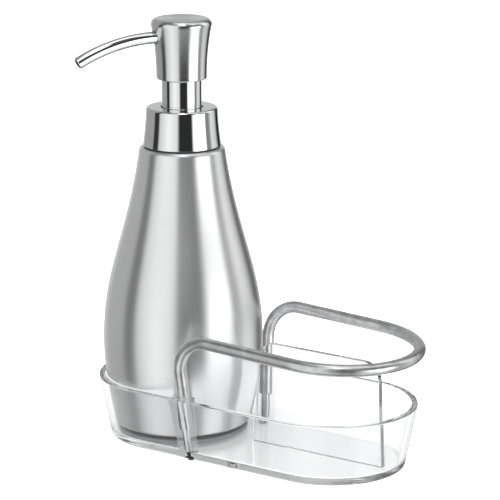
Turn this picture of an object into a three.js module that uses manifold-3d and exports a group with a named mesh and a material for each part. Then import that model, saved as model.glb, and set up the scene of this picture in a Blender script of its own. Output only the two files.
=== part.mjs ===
// Pump soap dispenser with a sponge caddy. A steel pump bottle stands in one end of a clear tray. The other
// end holds a sponge between an upright clear panel and a rail of bent wire.
// Millimetres, +Z up, with the sponge end towards +X and the front towards -Y.

import * as THREE from 'three';
import { mergeVertices, toCreasedNormals } from 'three/addons/utils/BufferGeometryUtils.js';
import Module from 'manifold-3d';

const wasm = await Module();
wasm.setup();

// Driving dimensions: millimetres, and degrees for angles

const gap = {
  fit: 0.3, // between two pieces that are fitted together
  slide: 0.6, // around the pump's sleeve, which slides and turns
  thread: 0.4, // between the neck and the screw cap
  nest: 0.6, // between the bottle and the tray wall around it
  stop: 0.8, // between the sleeve and the stem guide at the end of the stroke
};

const tray = {
  length: 84.4, // between the centres of the two round ends
  height: 29.8,
  wall: 3,
  floor: 3.3,
  draft: 10.8, // outward lean of the walls
  edgeRounding: 1.6,
  floorRounding: 1.5,
  rimRounding: 0.6,
};

const panel = {
  thickness: 2.9,
  height: 49,
  cornerRadius: 9,
  bottleGap: 3.8, // from the widest part of the bottle to the near edge
  endGap: 4.4, // from the far edge to the tray's end wall, along the floor
  nearLean: 3.5,
  farLean: 1.8,
};

const rail = {
  wire: 5.7, // diameter
  legX: 27, // of both legs' feet, from the bottle's axis
  legTopX: 23.5, // of both legs' lines where they meet the loop, because they lean towards the bottle
  height: 59.8, // of the wire's centre line over the legs, from the tray's underside
  endHeight: 55.8, // of the centre line at the far end of the loop
  inset: 2.3, // of the centre line inside the tray's outer rim
  endReach: 3, // of the loop's centre past the centre of the tray's round end
  bendRadius: 16,
  footInset: 0.8, // of the legs inside the tray wall, along the floor
  shoulder: 11.8, // up the leg, where the wire is turned down to its spigot
  spigot: 3.8, // diameter
};

const boss = {
  topRadius: 6.3,
  footRadius: 5,
  offset: 1.5, // from the leg's axis towards the wall
  rimDrop: 0.5, // of the boss's top below the rim
};

const screw = {
  radius: 1,
  reach: 7, // up inside the leg, from the tray floor
  headRadius: 2.3,
  headHeight: 2.4,
  crownRadius: 1.4,
  crownHeight: 1.1,
  seat: 1.6, // of the head's bearing face below the tray floor
};

const foot = {
  radius: 4,
  height: 1.3,
  taper: 0.4,
  endOffset: 16, // outwards from the centres of the tray's round ends
  sideOffset: 17,
};

const bottle = {
  height: 133, // to the top of the shoulder
  wall: 1,
  baseRadius: 32.8,
  bellyRadius: 38.1,
  bellyHeight: 40.2,
  shoulderRadius: 20.2,
  heelRounding: 1.5,
  shoulderRounding: 2,
  // Handles of the side's two curves: how far each reaches up or down, and the lean of the end ones
  basePull: 15.9,
  baseLean: 0.172,
  bellyPullDown: 18.3,
  bellyPullUp: 33.7,
  shoulderPull: 41.9,
  shoulderLean: 0.13,
};

const pad = {
  thickness: 1.7,
  inset: 0.1, // inside the flat of the bottle's base
};

const disc = {
  thickness: 2.5,
  inset: 1.2, // inside the foot of the bottle's side
  rounding: 0.7,
};

const stroke = 11; // travel of the pump head

const sleeve = {
  radius: 9.4,
  wall: 0.8,
  shown: 13.3, // length between the collar and the head
  headDepth: 4.2, // length inside the head
};

const stem = {
  radius: 3.5,
  bore: 1.8, // radius
  flangeRadius: 5.3,
  flange: 1.2,
  headDepth: 15.2, // length inside the head
};

const housing = {
  wall: 1,
  flange: 1.4,
  stepDepth: 1.6, // of the inner step below the bottle's shoulder
  cylinderRadius: 6.3, // inner
  cylinderLength: 42, // from the spring's ledge to the inner step
  cylinderWall: 1.2,
  valveChamber: 4.5, // height
  valveChamberRadius: 3.4,
  valveLip: 1.5, // thickness of the ledge over the valve
  valveLipRadius: 2.3,
  seatThickness: 2,
  seatRadius: 1.8,
  tailLength: 6,
  tailWall: 1.3,
};

const guide = {
  flange: 1.2,
  depth: 7.5, // of the bush below its flange
};

const seal = {
  length: 6,
  topGap: 1, // to the stem guide when the head is up
};

const spring = {
  radius: 4.8, // of the coil's centre line
  wire: 0.9, // diameter
  turns: 7,
};

const ballRadius = 2.5;

const dipTube = {
  radius: 3,
  wall: 0.8,
  floorGap: 3, // from its open end to the bottle's floor
};

const neck = {
  wall: 1.9,
  height: 12.4, // above the bottle's shoulder
  flange: 1.5,
  flangeWidth: 2.8,
};

const housingGasket = { thickness: 1.2 };

const cap = {
  wall: 1.6,
  web: 2,
};

const collar = {
  wall: 1.4,
  top: 1.3, // thickness of the top face
  flare: 1.6, // of the foot beyond the top
  waist: 0.35, // by which the middle of the side stands beyond the top
  topRounding: 1.2,
};

const collarGasket = {
  thickness: 0.8,
  inset: 0.5, // inside the collar's foot
};

const head = {
  height: 28.6,
  wall: 1,
  sleeveSpace: 1.5, // between the sleeve and the head's inner wall
  flare: 2.5, // of the top edge beyond the foot
  waistHeight: 14, // up to which the side stays close to upright
  topRounding: 2.8,
  footRounding: 0.8,
  coreSpigot: 3.8, // length of the core below the head, inside the sleeve
};

const spout = {
  radius: 2.9,
  bore: 2.1, // radius
  height: 20.2, // of its centre line above the head's foot
  root: 3, // distance of its inner end from the pump's axis
  bendRadius: 80,
  bendAngle: 28.6,
  heading: 237.6, // turned from +X, seen from above
};

// Fineness of the facets

const sides = { large: 32, medium: 24, small: 14, wire: 10, springWire: 5 };
const steps = {
  rounding: 2,
  lowerSide: 4,
  upperSide: 7,
  collarSide: 5,
  headSide: 5,
  rail: 84,
  spout: 10,
  springTurn: 8,
  measure: 40, // along each of the bottle's curves, where the tray is fitted to it
};
const overlap = 1; // of bodies that are joined or cut, past the face where they meet

// Derived radii of the pump, from the sleeve outwards

const housingInside = sleeve.radius + gap.slide;
const housingOutside = housingInside + housing.wall;
const neckInside = housingOutside + gap.fit;
const neckOutside = neckInside + neck.wall;
const neckHole = neckOutside + gap.fit;
const capInside = neckOutside + gap.thread;
const capOutside = capInside + cap.wall;
const collarInside = capOutside + gap.fit;
const collarTopRadius = collarInside + collar.wall;
const collarFootRadius = collarTopRadius + collar.flare;
const headInside = sleeve.radius + head.sleeveSpace;
const headFootRadius = headInside + head.wall;

// Derived heights of the pump, from the bottle's shoulder up and down

const gasketTop = neck.height + housingGasket.thickness;
const flangeTop = gasketTop + housing.flange;
const capTop = flangeTop + gap.fit + cap.web;
const collarTop = capTop + gap.fit + collar.top;
const headFoot = collarTop + sleeve.shown;
const innerStep = -housing.stepDepth;
const springLedge = innerStep - housing.cylinderLength;
const valveSeat = springLedge - housing.valveLip - housing.valveChamber;
const tailTop = valveSeat - housing.seatThickness;
const guideTop = innerStep + guide.flange;
const sealTop = innerStep - guide.depth - seal.topGap;
const sealFoot = sealTop - seal.length;
const stemFoot = sealFoot - gap.fit - stem.flange;

// Derived shape of the bottle's side and of the tray that it nests in

const bottleFoot = tray.floor + disc.thickness + pad.thickness;
const lowerSide = new THREE.CubicBezierCurve(
  new THREE.Vector2(bottle.baseRadius, 0),
  new THREE.Vector2(bottle.baseRadius + bottle.baseLean * bottle.basePull, bottle.basePull),
  new THREE.Vector2(bottle.bellyRadius, bottle.bellyHeight - bottle.bellyPullDown),
  new THREE.Vector2(bottle.bellyRadius, bottle.bellyHeight),
);
const upperSide = new THREE.CubicBezierCurve(
  new THREE.Vector2(bottle.bellyRadius, bottle.bellyHeight),
  new THREE.Vector2(bottle.bellyRadius, bottle.bellyHeight + bottle.bellyPullUp),
  new THREE.Vector2(
    bottle.shoulderRadius + bottle.shoulderLean * bottle.shoulderPull,
    bottle.height - bottle.shoulderPull,
  ),
  new THREE.Vector2(bottle.shoulderRadius, bottle.height),
);

const draftSlope = Math.tan(THREE.MathUtils.degToRad(tray.draft));
const finePoints = [lowerSide, upperSide].flatMap((curve) => curve.getPoints(steps.measure));
const nestedPoints = finePoints.filter((point) => bottleFoot + point.y <= tray.height);
const rimNeeds = nestedPoints.map((point) => point.x + (tray.height - bottleFoot - point.y) * draftSlope);
const rimInside = Math.max(...rimNeeds) + gap.nest;
const trayInsideAt = (z) => rimInside - (tray.height - z) * draftSlope;
const trayOutsideAt = (z) => trayInsideAt(z) + tray.wall;

// Derived route of the rail

const railY = trayOutsideAt(tray.height) - rail.inset;
const footY = trayInsideAt(tray.floor) - rail.footInset;
const legLean = Math.atan2(railY - footY, rail.height - tray.floor);
const legSway = Math.atan2(rail.legTopX - rail.legX, Math.hypot(railY - footY, rail.height - tray.floor));
const loopX = tray.length + rail.endReach;
const railFall = (rail.height - rail.endHeight) / (loopX + railY - rail.legTopX);

// Materials

const finish = (color, roughness, metalness) =>
  new THREE.MeshStandardMaterial({ color, roughness, metalness });
const clearAcrylic = finish(0xf4f8f8, 0.05, 0);
clearAcrylic.transparent = true;
clearAcrylic.opacity = 0.3;
const brushedSteel = finish(0xb9babc, 0.35, 1);
const satinSteel = finish(0xa9aaab, 0.3, 1);
const chrome = finish(0xd8d9db, 0.06, 1);
const blackRubber = finish(0x1c1c1d, 0.7, 0);
const greyRubber = finish(0x77787a, 0.6, 0);
const darkSteel = finish(0x2b2b2d, 0.4, 1);
const springSteel = finish(0x9a9b9d, 0.3, 1);
const whitePlastic = finish(0xe9e9e6, 0.45, 0);
const naturalPlastic = finish(0xdfe2df, 0.4, 0);
const clearRubber = finish(0xeef1f0, 0.3, 0);

// Outlines and curves

// The point at share t of the arc that swings from one arm of its centre to another.
function arcPoint(centre, fromArm, toArm, t) {
  const angle = Math.acos(fromArm.dot(toArm) / (fromArm.length() * toArm.length()));
  return centre
    .clone()
    .addScaledVector(fromArm, Math.sin((1 - t) * angle) / Math.sin(angle))
    .addScaledVector(toArm, Math.sin(t * angle) / Math.sin(angle));
}

// The arc of a given radius that rounds a corner between the directions to its two neighbours.
function cornerArc(corner, toPrevious, toNext, radius) {
  const half = toPrevious.angleTo(toNext) / 2;
  const middle = toPrevious.clone().add(toNext).normalize();
  const reach = radius / Math.tan(half);
  const start = corner.clone().addScaledVector(toPrevious, reach);
  const end = corner.clone().addScaledVector(toNext, reach);
  const centre = corner.clone().addScaledVector(middle, radius / Math.sin(half));
  return { start, end, centre, fromArm: start.clone().sub(centre), toArm: end.clone().sub(centre) };
}

class Arc extends THREE.Curve {
  constructor(centre, fromArm, toArm) {
    super();
    this.centre = centre;
    this.fromArm = fromArm;
    this.toArm = toArm;
  }

  getPoint(t, target = new THREE.Vector3()) {
    return target.copy(arcPoint(this.centre, this.fromArm, this.toArm, t));
  }
}

class Helix extends THREE.Curve {
  constructor(radius, foot, height, turns) {
    super();
    this.radius = radius;
    this.foot = foot;
    this.height = height;
    this.turns = turns;
  }

  getPoint(t, target = new THREE.Vector3()) {
    const angle = 2 * Math.PI * this.turns * t;
    const x = this.radius * Math.cos(angle);
    const y = this.radius * Math.sin(angle);
    return target.set(x, y, this.foot + this.height * t);
  }
}

// An outline of [x, y] corners as points. A corner's third number, if it has one, is its rounding.
function rounded(outline) {
  return outline.flatMap(([x, y, radius], i) => {
    const corner = new THREE.Vector2(x, y);
    if (!radius) return [corner];
    const towards = (other) => new THREE.Vector2(other[0], other[1]).sub(corner).normalize();
    const arc = cornerArc(corner, towards(outline[i - 1]), towards(outline[i + 1]), radius);
    return Array.from({ length: steps.rounding + 1 }, (_, step) =>
      arcPoint(arc.centre, arc.fromArm, arc.toArm, step / steps.rounding),
    );
  });
}

const pairs = (points) => points.map((point) => [point.x, point.y]);

function circle(radius, count, holeRadius) {
  const ring = (r) =>
    Array.from({ length: count }, (_, i) => {
      const angle = (2 * Math.PI * i) / count;
      return new THREE.Vector2(r * Math.cos(angle), r * Math.sin(angle));
    });
  const shape = new THREE.Shape(ring(radius));
  if (holeRadius) shape.holes.push(new THREE.Path(ring(holeRadius)));
  return shape;
}

// Closed bodies

function volume(geometry) {
  const corner = (i) => new THREE.Vector3().fromBufferAttribute(geometry.attributes.position, i);
  const index = geometry.index.array;
  let total = 0;
  for (let i = 0; i < index.length; i += 3) {
    total += corner(index[i]).dot(corner(index[i + 1]).cross(corner(index[i + 2]))) / 6;
  }
  return total;
}

// The geometry with its shared corners merged, its empty triangles left out and its faces pointing out.
function closed(geometry) {
  geometry.deleteAttribute('normal');
  geometry.deleteAttribute('uv');
  const welded = mergeVertices(geometry);
  const triangles = [];
  for (let i = 0; i < welded.index.count; i += 3) {
    const [a, b, c] = welded.index.array.slice(i, i + 3);
    if (a !== b && b !== c && c !== a) triangles.push([a, b, c]);
  }
  welded.setIndex(triangles.flat());
  if (volume(welded) < 0) welded.setIndex(triangles.map(([a, b, c]) => [a, c, b]).flat());
  return welded;
}

// A body of revolution about Z. An outline that doesn't end on the axis closes on itself.
function turned(outline, count) {
  const points = rounded(outline);
  if (points[0].x > 0) points.push(points[0].clone());
  return closed(new THREE.LatheGeometry(points, count).rotateX(Math.PI / 2));
}

function ring(inside, outside, foot, top, count) {
  const outline = [
    [inside, foot],
    [outside, foot],
    [outside, top],
    [inside, top],
  ];
  return turned(outline, count);
}

function rod(radius, foot, top, count, topRadius = radius) {
  const cylinder = new THREE.CylinderGeometry(topRadius, radius, top - foot, count);
  return closed(cylinder.rotateX(Math.PI / 2).translate(0, 0, (foot + top) / 2));
}

function swept(shape, path, steps) {
  return closed(new THREE.ExtrudeGeometry(shape, { extrudePath: path, steps, bevelEnabled: false }));
}

// A body whose outline, at each [radius, z] of the profile, is a slot with round ends about x = 0 and
// x = length. The profile's first and last outlines are closed by flat faces.
function slotLoft(profile, length, arcSteps) {
  const outline = [
    [length, -Math.PI / 2],
    [0, Math.PI / 2],
  ].flatMap(([centreX, start]) =>
    Array.from({ length: arcSteps + 1 }, (_, i) => ({ centreX, angle: start + (Math.PI * i) / arcSteps })),
  );
  const count = outline.length;
  const corners = rounded(profile).flatMap(({ x: radius, y: z }) =>
    outline.flatMap(({ centreX, angle }) => {
      const x = centreX + radius * Math.cos(angle);
      return [x, radius * Math.sin(angle), z];
    }),
  );
  const levels = corners.length / 3 / count;
  const triangles = [];
  for (let i = 0; i < count; i++) {
    const next = (i + 1) % count;
    for (let level = 0; level < levels - 1; level++) {
      const low = level * count;
      const high = low + count;
      triangles.push(low + i, low + next, high + next, low + i, high + next, high + i);
    }
    const last = (levels - 1) * count;
    triangles.push(0, next, i, last, last + i, last + next);
  }
  const geometry = new THREE.BufferGeometry();
  geometry.setAttribute('position', new THREE.Float32BufferAttribute(corners, 3));
  geometry.setIndex(triangles);
  return closed(geometry);
}

function solidOf(geometry) {
  const vertProperties = new Float32Array(geometry.attributes.position.array);
  const triVerts = new Uint32Array(geometry.index.array);
  return new wasm.Manifold(new wasm.Mesh({ numProp: 3, vertProperties, triVerts }));
}

function geometryOf(solid) {
  const { vertProperties, triVerts } = solid.getMesh();
  const geometry = new THREE.BufferGeometry();
  geometry.setAttribute('position', new THREE.BufferAttribute(vertProperties, 3));
  geometry.setIndex(new THREE.BufferAttribute(triVerts, 1));
  return geometry;
}

const joined = (first, ...others) =>
  geometryOf(others.reduce((body, other) => body.add(solidOf(other)), solidOf(first)));
const cut = (first, ...tools) =>
  geometryOf(tools.reduce((body, tool) => body.subtract(solidOf(tool)), solidOf(first)));
const common = (first, second) => geometryOf(solidOf(first).intersect(solidOf(second)));

const creaseAngle = 0.6;

function piece(name, geometry, material) {
  const mesh = new THREE.Mesh(toCreasedNormals(geometry, creaseAngle), material);
  mesh.name = name;
  return mesh;
}

// Frame of a leg: its origin is on the tray floor and its Z runs up the leg. Side -1 is the front one.
function legFrame(side) {
  const frame = new THREE.Group();
  frame.position.set(rail.legX, side * footY, tray.floor);
  frame.rotation.x = -side * legLean;
  frame.rotation.y = legSway;
  frame.updateMatrix();
  return frame;
}

const alongLeg = (geometry, side) => geometry.applyMatrix4(legFrame(side).matrix);

// The tray, its panel and its feet

function trayBoss(side) {
  const middleAt = (z) => trayOutsideAt(z) - tray.wall / 2;
  const foot = tray.floor / 2;
  const top = tray.height - boss.rimDrop;
  const space = slotLoft(
    [
      [middleAt(foot), foot],
      [middleAt(top), top],
    ],
    tray.length,
    sides.medium,
  );
  const cone = rod(boss.footRadius, -tray.floor, tray.height, sides.medium, boss.topRadius);
  return common(alongLeg(cone.translate(0, side * boss.offset, 0), side), space);
}

function legHoles(side) {
  const wireHole = rod(rail.wire / 2 + gap.fit, rail.shoulder - gap.fit, tray.height * 2, sides.small);
  const spigotHole = rod(rail.spigot / 2 + gap.fit, 0, rail.shoulder, sides.small);
  const screwHole = rod(screw.radius + gap.fit, -tray.floor, overlap, sides.small);
  const headSeat = rod(screw.headRadius + gap.fit, -2 * tray.floor, -screw.seat, sides.small);
  return [wireHole, spigotHole, screwHole, headSeat].map((hole) => alongLeg(hole, side));
}

function makeTray() {
  const outside = trayOutsideAt(0);
  const inside = trayInsideAt(tray.floor);
  const shell = slotLoft(
    [
      [outside / 2, 0],
      [outside, 0, tray.edgeRounding],
      [trayOutsideAt(tray.height), tray.height, tray.rimRounding],
      [rimInside, tray.height, tray.rimRounding],
      [inside, tray.floor, tray.floorRounding],
      [inside / 2, tray.floor],
    ],
    tray.length,
    sides.small,
  );
  const whole = joined(shell, trayBoss(-1), trayBoss(1));
  return piece('tray', cut(whole, ...legHoles(-1), ...legHoles(1)), clearAcrylic);
}

function makePanel() {
  const lean = (degrees) => panel.height * Math.tan(THREE.MathUtils.degToRad(degrees));
  const near = bottle.bellyRadius + panel.bottleGap;
  const far = tray.length + trayInsideAt(tray.floor) - panel.endGap;
  const outline = rounded([
    [near, 0],
    [far, 0],
    [far - lean(panel.farLean), panel.height, panel.cornerRadius],
    [near + lean(panel.nearLean), panel.height, panel.cornerRadius],
    [near, 0],
  ]);
  const plate = new THREE.ExtrudeGeometry(new THREE.Shape(outline.slice(0, -1)), {
    depth: panel.thickness,
    bevelEnabled: false,
  });
  const mesh = piece('divider_panel', closed(plate), clearAcrylic);
  mesh.rotation.x = Math.PI / 2;
  mesh.position.set(0, panel.thickness / 2, tray.floor);
  return mesh;
}

function makeFeet() {
  const ends = { left: -foot.endOffset, right: tray.length + foot.endOffset };
  const rows = { front: -foot.sideOffset, back: foot.sideOffset };
  return Object.entries(rows).flatMap(([row, y]) =>
    Object.entries(ends).map(([end, x]) => {
      const body = rod(foot.radius - foot.taper, -foot.height, 0, sides.small, foot.radius);
      const mesh = piece(`foot_${row}_${end}`, body, clearRubber);
      mesh.position.set(x, y, 0);
      return mesh;
    }),
  );
}

// The rail and its screws

function railPath() {
  const along = new THREE.Vector3(1, 0, -railFall).normalize();
  const bends = [-1, 1].map((side) => {
    const corner = new THREE.Vector3(rail.legTopX, side * railY, rail.height);
    const down = new THREE.Vector3(0, 0, -1).applyEuler(legFrame(side).rotation);
    return cornerArc(corner, down, along, rail.bendRadius);
  });
  const [front, back] = bends;
  const [frontShoulder, backShoulder] = [-1, 1].map((side) =>
    new THREE.Vector3(0, 0, rail.shoulder).applyMatrix4(legFrame(side).matrix),
  );
  const loop = new THREE.Vector3(loopX, 0, rail.height - railFall * (loopX - rail.legTopX));
  const toFront = new THREE.Vector3(0, -railY, 0);
  const toBack = new THREE.Vector3(0, railY, 0);
  const toTip = new THREE.Vector3(railY, 0, -railFall * railY);

  const path = new THREE.CurvePath();
  path.add(new THREE.LineCurve3(frontShoulder, front.start));
  path.add(new Arc(front.centre, front.fromArm, front.toArm));
  path.add(new THREE.LineCurve3(front.end, loop.clone().add(toFront)));
  path.add(new Arc(loop, toFront, toTip));
  path.add(new Arc(loop, toTip, toBack));
  path.add(new THREE.LineCurve3(loop.clone().add(toBack), back.end));
  path.add(new Arc(back.centre, back.toArm, back.fromArm));
  path.add(new THREE.LineCurve3(back.start, backShoulder));
  return path;
}

function makeRail() {
  const wire = swept(circle(rail.wire / 2, sides.wire), railPath(), steps.rail);
  const spigot = () => rod(rail.spigot / 2, gap.fit, rail.shoulder + overlap, sides.wire);
  const thread = () => rod(screw.radius + gap.fit, 0, screw.reach + overlap, sides.wire);
  const whole = joined(wire, alongLeg(spigot(), -1), alongLeg(spigot(), 1));
  return piece('sponge_rail', cut(whole, alongLeg(thread(), -1), alongLeg(thread(), 1)), satinSteel);
}

function makeScrews() {
  const bearing = -screw.seat - gap.fit;
  const crown = bearing - screw.headHeight;
  const outline = [
    [0, crown],
    [screw.crownRadius, crown],
    [screw.headRadius, crown + screw.crownHeight],
    [screw.headRadius, bearing],
    [screw.radius, bearing],
    [screw.radius, screw.reach],
    [0, screw.reach],
  ];
  return Object.entries({ front: -1, back: 1 }).map(([name, side]) => {
    const frame = legFrame(side);
    frame.add(piece(`leg_screw_${name}`, turned(outline, sides.small), darkSteel));
    return frame;
  });
}

// The bottle

function makeShell() {
  const side = [...lowerSide.getPoints(steps.lowerSide), ...upperSide.getPoints(steps.upperSide).slice(1)];
  const outside = pairs(side.slice(1, -1));
  const inside = pairs(side).map(([radius, z]) => [
    radius - bottle.wall,
    THREE.MathUtils.clamp(z, bottle.wall, bottle.height - bottle.wall),
  ]);
  const outline = [
    [0, 0],
    [bottle.baseRadius, 0, bottle.heelRounding],
    ...outside,
    [bottle.shoulderRadius, bottle.height, bottle.shoulderRounding],
    [neckHole, bottle.height],
    [neckHole, bottle.height - bottle.wall],
    ...inside.reverse().slice(0, -1),
    [bottle.baseRadius - bottle.heelRounding, bottle.wall],
    [0, bottle.wall],
  ];
  return piece('bottle_shell', turned(outline, sides.large), brushedSteel);
}

function makePad() {
  const radius = bottle.baseRadius - bottle.heelRounding - pad.inset;
  return piece('base_pad', rod(radius, -pad.thickness, 0, sides.large), blackRubber);
}

function makeDisc() {
  const radius = bottle.baseRadius - disc.inset;
  const top = -pad.thickness;
  const base = top - disc.thickness;
  const outline = [
    [0, base],
    [radius, base, disc.rounding],
    [radius, top, disc.rounding],
    [0, top],
  ];
  return piece('base_disc', turned(outline, sides.large), greyRubber);
}

// The pump. Heights are from the bottle's shoulder.

function makeNeck() {
  const flangeTop = -bottle.wall;
  const outline = [
    [neckInside, flangeTop - neck.flange],
    [neckOutside + neck.flangeWidth, flangeTop - neck.flange],
    [neckOutside + neck.flangeWidth, flangeTop],
    [neckOutside, flangeTop],
    [neckOutside, neck.height],
    [neckInside, neck.height],
  ];
  return piece('neck_insert', turned(outline, sides.medium), whitePlastic);
}

function makeHousing() {
  const cylinderOutside = housing.cylinderRadius + housing.cylinderWall;
  const tailInside = dipTube.radius + gap.fit;
  const tailOutside = tailInside + housing.tailWall;
  const tailFoot = tailTop - housing.tailLength;
  const outline = [
    [tailInside, tailFoot],
    [tailOutside, tailFoot],
    [tailOutside, tailTop],
    [cylinderOutside, valveSeat],
    [cylinderOutside, innerStep - housing.wall],
    [housingOutside, innerStep - housing.wall],
    [housingOutside, gasketTop],
    [neckOutside, gasketTop],
    [neckOutside, flangeTop],
    [housingInside, flangeTop],
    [housingInside, innerStep],
    [housing.cylinderRadius, innerStep],
    [housing.cylinderRadius, springLedge],
    [housing.valveLipRadius, springLedge],
    [housing.valveLipRadius, springLedge - housing.valveLip],
    [housing.valveChamberRadius, springLedge - housing.valveLip],
    [housing.valveChamberRadius, valveSeat],
    [housing.seatRadius, valveSeat],
    [housing.seatRadius, tailTop],
    [tailInside, tailTop],
  ];
  return piece('pump_housing', turned(outline, sides.medium), naturalPlastic);
}

function makeGuide() {
  const bushRadius = housing.cylinderRadius - gap.fit;
  const flangeRadius = housingInside - gap.fit;
  const outline = [
    [stem.radius + gap.fit, innerStep - guide.depth],
    [bushRadius, innerStep - guide.depth],
    [bushRadius, innerStep],
    [flangeRadius, innerStep],
    [flangeRadius, guideTop],
    [stem.radius + gap.fit, guideTop],
  ];
  return piece('stem_guide', turned(outline, sides.small), whitePlastic);
}

function makeSpring() {
  const foot = springLedge + gap.fit + spring.wire / 2;
  const top = stemFoot - gap.fit - spring.wire / 2;
  const path = new Helix(spring.radius, foot, top - foot, spring.turns);
  const wire = swept(circle(spring.wire / 2, sides.springWire), path, spring.turns * steps.springTurn);
  return piece('return_spring', wire, springSteel);
}

function makeDipTube() {
  const foot = bottle.wall + dipTube.floorGap - bottle.height;
  const top = tailTop - gap.fit;
  const tube = ring(dipTube.radius - dipTube.wall, dipTube.radius, foot, top, sides.small);
  return piece('dip_tube', tube, naturalPlastic);
}

function makeBall() {
  const rise = Math.sqrt(ballRadius ** 2 - housing.seatRadius ** 2);
  const ball = new THREE.SphereGeometry(ballRadius, sides.small, sides.small / 2).rotateX(Math.PI / 2);
  const mesh = piece('inlet_ball', closed(ball), springSteel);
  mesh.position.z = valveSeat + rise + gap.fit;
  return mesh;
}

function makeCap() {
  const outline = [
    [capInside, collarGasket.thickness + gap.fit],
    [capOutside, collarGasket.thickness + gap.fit],
    [capOutside, capTop],
    [housingInside, capTop],
    [housingInside, flangeTop + gap.fit],
    [capInside, flangeTop + gap.fit],
  ];
  return piece('screw_cap', turned(outline, sides.medium), whitePlastic);
}

function makeCollar() {
  const foot = collarGasket.thickness;
  const middle = (foot + collarTop) / 2;
  const sideCurve = new THREE.QuadraticBezierCurve(
    new THREE.Vector2(collarFootRadius, foot),
    new THREE.Vector2(collarTopRadius + collar.waist, middle),
    new THREE.Vector2(collarTopRadius, collarTop),
  );
  const outline = [
    [collarInside, foot],
    ...pairs(sideCurve.getPoints(steps.collarSide).slice(0, -1)),
    [collarTopRadius, collarTop, collar.topRounding],
    [housingInside, collarTop],
    [housingInside, collarTop - collar.top],
    [collarInside, collarTop - collar.top],
  ];
  return piece('collar_cover', turned(outline, sides.large), chrome);
}

function makeStem() {
  const top = headFoot + stem.headDepth;
  const outline = [
    [stem.bore, stemFoot],
    [stem.flangeRadius, stemFoot],
    [stem.flangeRadius, stemFoot + stem.flange],
    [stem.radius, stemFoot + stem.flange],
    [stem.radius, top],
    [stem.bore, top],
  ];
  return piece('piston_stem', turned(outline, sides.small), whitePlastic);
}

function makeSleeve() {
  const foot = guideTop + stroke + gap.stop;
  const top = headFoot + sleeve.headDepth;
  const tube = ring(sleeve.radius - sleeve.wall, sleeve.radius, foot, top, sides.large);
  return piece('stem_sleeve', tube, chrome);
}

function makeSeals() {
  const collarSealOutside = collarFootRadius - collarGasket.inset;
  const pistonSealInside = stem.radius + gap.fit;
  const pistonSealOutside = housing.cylinderRadius - gap.fit;
  const rings = {
    housing_gasket: ring(neckInside, neckOutside, neck.height, gasketTop, sides.medium),
    collar_gasket: ring(neckHole, collarSealOutside, 0, collarGasket.thickness, sides.large),
    piston_seal: ring(pistonSealInside, pistonSealOutside, sealFoot, sealTop, sides.small),
  };
  return Object.entries(rings).map(([name, body]) => piece(name, body, blackRubber));
}

// The head. Heights are from its foot, and the spout leaves along X.

// The head's side and top, set in from the outer surface, from a given height up to the axis.
function headOutline(inset, foot) {
  const edgeHeight = head.height - head.topRounding;
  const edgeRadius = headFootRadius + head.flare;
  const side = new THREE.QuadraticBezierCurve(
    new THREE.Vector2(headFootRadius, foot),
    new THREE.Vector2(headFootRadius, head.waistHeight),
    new THREE.Vector2(edgeRadius, edgeHeight),
  );
  const centre = new THREE.Vector2(edgeRadius - head.topRounding, edgeHeight);
  const outwards = new THREE.Vector2(head.topRounding - inset, 0);
  const upwards = new THREE.Vector2(0, head.topRounding - inset);
  const sidePoints = side.getPoints(steps.headSide).map((point) => [point.x - inset, point.y]);
  const middle = arcPoint(centre, outwards, upwards, 1 / 2);
  const top = centre.clone().add(upwards);
  return [...sidePoints, ...pairs([middle, top]), [0, top.y]];
}

// A rod across the head, at the spout's height, between two distances from the pump's axis.
const crossRod = (radius, from, to) =>
  rod(radius, from, to, sides.small)
    .rotateY(Math.PI / 2)
    .translate(0, 0, spout.height);
const spoutHole = () => crossRod(spout.radius + gap.fit, spout.root - gap.fit, 2 * headFootRadius);

function makeHeadCap() {
  const [, ...outside] = headOutline(0, 0);
  const inside = headOutline(head.wall, 0);
  const outline = [
    [headInside, 0],
    [headFootRadius, 0, head.footRounding],
    ...outside,
    ...inside.reverse().slice(0, -1),
  ];
  return piece('head_cap', cut(turned(outline, sides.large), spoutHole()), satinSteel);
}

function makeHeadCore() {
  const coreFoot = sleeve.headDepth + gap.fit;
  const spigotRadius = sleeve.radius - sleeve.wall - gap.fit;
  const outline = [
    [0, -head.coreSpigot],
    [spigotRadius, -head.coreSpigot],
    [spigotRadius, coreFoot],
    ...headOutline(head.wall + gap.fit, coreFoot),
  ];
  const stemSocket = rod(stem.radius + gap.fit, -2 * head.coreSpigot, stem.headDepth + gap.fit, sides.small);
  const riser = rod(stem.bore, stem.headDepth, spout.height, sides.small);
  const channel = crossRod(stem.bore, -stem.bore, spout.root);
  const core = cut(turned(outline, sides.medium), stemSocket, riser, channel, spoutHole());
  return piece('head_core', core, whitePlastic);
}

function makeSpout() {
  const surface = headFootRadius + head.flare / 2;
  const turn = THREE.MathUtils.degToRad(spout.bendAngle);
  const root = new THREE.Vector3(spout.root, 0, spout.height);
  const start = new THREE.Vector3(surface, 0, spout.height);
  const centre = new THREE.Vector3(surface, 0, spout.height - spout.bendRadius);
  const up = new THREE.Vector3(0, 0, spout.bendRadius);
  const tip = up.clone().applyAxisAngle(new THREE.Vector3(0, 1, 0), turn);
  const path = new THREE.CurvePath();
  path.add(new THREE.LineCurve3(root, start));
  path.add(new Arc(centre, up, tip));
  const tube = swept(circle(spout.radius, sides.wire, spout.bore), path, steps.spout);
  return piece('spout_tube', tube, chrome);
}

// Assembly

function group(parts, z = 0) {
  const made = new THREE.Group();
  made.add(...parts);
  made.position.z = z;
  return made;
}

const headGroup = group([makeHeadCap(), makeHeadCore(), makeSpout()], headFoot);
headGroup.rotation.z = THREE.MathUtils.degToRad(spout.heading);

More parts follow.
